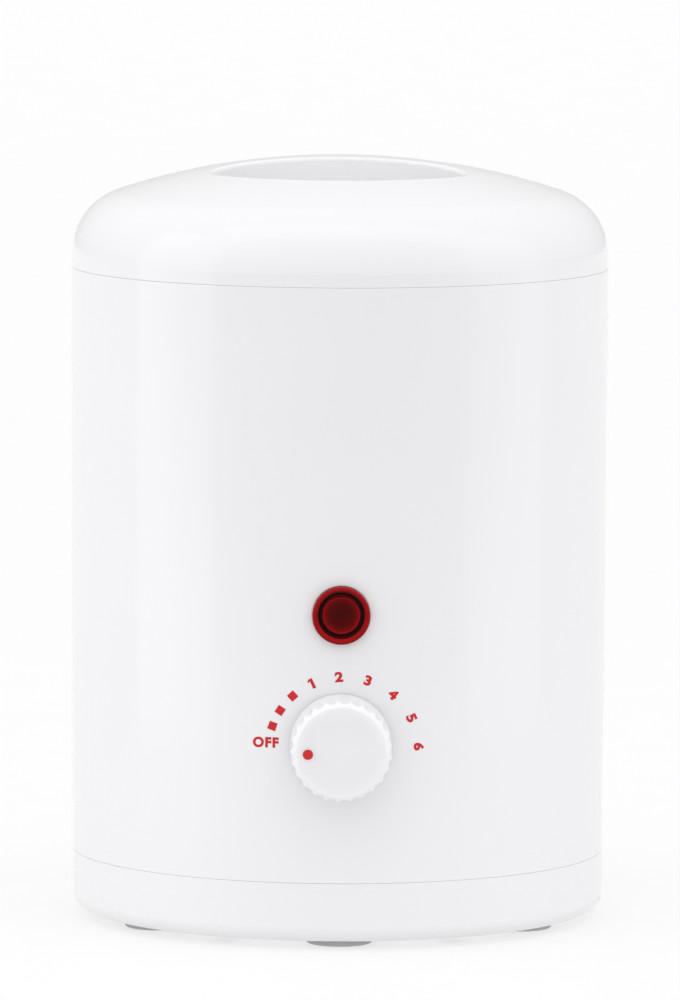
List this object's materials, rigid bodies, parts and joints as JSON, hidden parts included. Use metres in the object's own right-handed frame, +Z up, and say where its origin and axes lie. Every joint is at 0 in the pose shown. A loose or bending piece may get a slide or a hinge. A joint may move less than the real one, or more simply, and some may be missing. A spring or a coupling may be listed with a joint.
{
  "type": "wax heater",
  "caption": "Round white table-top wax heater with a domed lift-off lid, a lift-out aluminium pot in a heated well, a fluted thermostat knob and a red pilot lamp.",
  "frame": {"origin": "centre of the flat underside of the base, on the axis of the round casing", "axes": "+Z up along the casing's axis, -Y out of the front where the knob is, +X to the right seen from the front"},
  "size_m": [0.15, 0.1687, 0.2131],
  "materials": {
    "casing_white": "glossy moulded ABS",
    "knob_white": "satin moulded ABS",
    "collar_white": "heat-proof moulded plastic",
    "pointer_red": "red ink in a pocket",
    "lens_red": "clear red polycarbonate",
    "neon_glass": "clear glass",
    "pot_aluminium": "spun, satin",
    "well_aluminium": "drawn, plain",
    "foot_rubber": "grey moulded rubber",
    "gland_rubber": "white moulded rubber",
    "gasket_silicone": "red silicone",
    "plated_steel": "zinc plated",
    "tab_brass": "plain brass",
    "sensor_copper": "drawn copper",
    "heater_mica": "mica sheet",
    "sleeve_felt": "glass felt",
    "thermostat_phenolic": "dark phenolic",
    "lamp_nylon": "natural nylon",
    "block_nylon": "natural nylon",
    "wire_brown": "brown insulation",
    "wire_blue": "blue insulation",
    "wire_green": "green and yellow insulation",
    "wire_white": "glass braid",
    "wire_black": "black insulation"
  },
  "bodies": {
    "housing": {"outer_casing": "casing_white", "base_cover": "casing_white", "collar_ring": "collar_white", "pilot_lens": "lens_red", "neon_bulb": "neon_glass", "heating_well": "well_aluminium", "thermal_fuse": "well_aluminium", "rubber_feet": "foot_rubber", "cord_gland": "gland_rubber", "well_gasket": "gasket_silicone", "band_strap": "plated_steel", "strap_bolt": "plated_steel", "strap_nut": "plated_steel", "base_screws": "plated_steel", "collar_screws": "plated_steel", "bush_washer": "plated_steel", "bush_nut": "plated_steel", "bulb_clip": "plated_steel", "fuse_clip": "plated_steel", "pilot_clip": "plated_steel", "terminal_screws": "plated_steel", "block_screws": "plated_steel", "earth_stud": "plated_steel", "earth_nut": "plated_steel", "heater_tabs": "tab_brass", "thermostat_tabs": "tab_brass", "sensor_bulb": "sensor_copper", "capillary_tube": "sensor_copper", "heater_band": "heater_mica", "insulation_sleeve": "sleeve_felt", "thermostat_body": "thermostat_phenolic", "pilot_housing": "lamp_nylon", "terminal_block": "block_nylon", "live_wire": "wire_brown", "neutral_wire": "wire_blue", "earth_wire": "wire_green", "feed_wire": "wire_white", "fuse_wire": "wire_white", "lamp_leads": "wire_black"},
    "knob": {"control_knob": "knob_white", "pointer_dot": "pointer_red", "thermostat_shaft": "plated_steel", "knob_spring_clip": "plated_steel"},
    "pot": {"inner_pot": "pot_aluminium"},
    "lid": {"lid_shell": "casing_white"}
  },
  "joints": [
    {"name": "knob_turn", "type": "hinge", "parent": "housing", "child": "knob", "pos_m": [0, -0.07511, 0.0551], "axis": [0, 1, 0], "range_deg": [0, 180]},
    {"name": "pot_lift", "type": "slide", "parent": "housing", "child": "pot", "axis": [0, 0, 1], "range_m": [0, 0.15]},
    {"name": "lid_lift", "type": "slide", "parent": "pot", "child": "lid", "axis": [0, 0, 1], "range_m": [0, 0.12]}
  ]
}
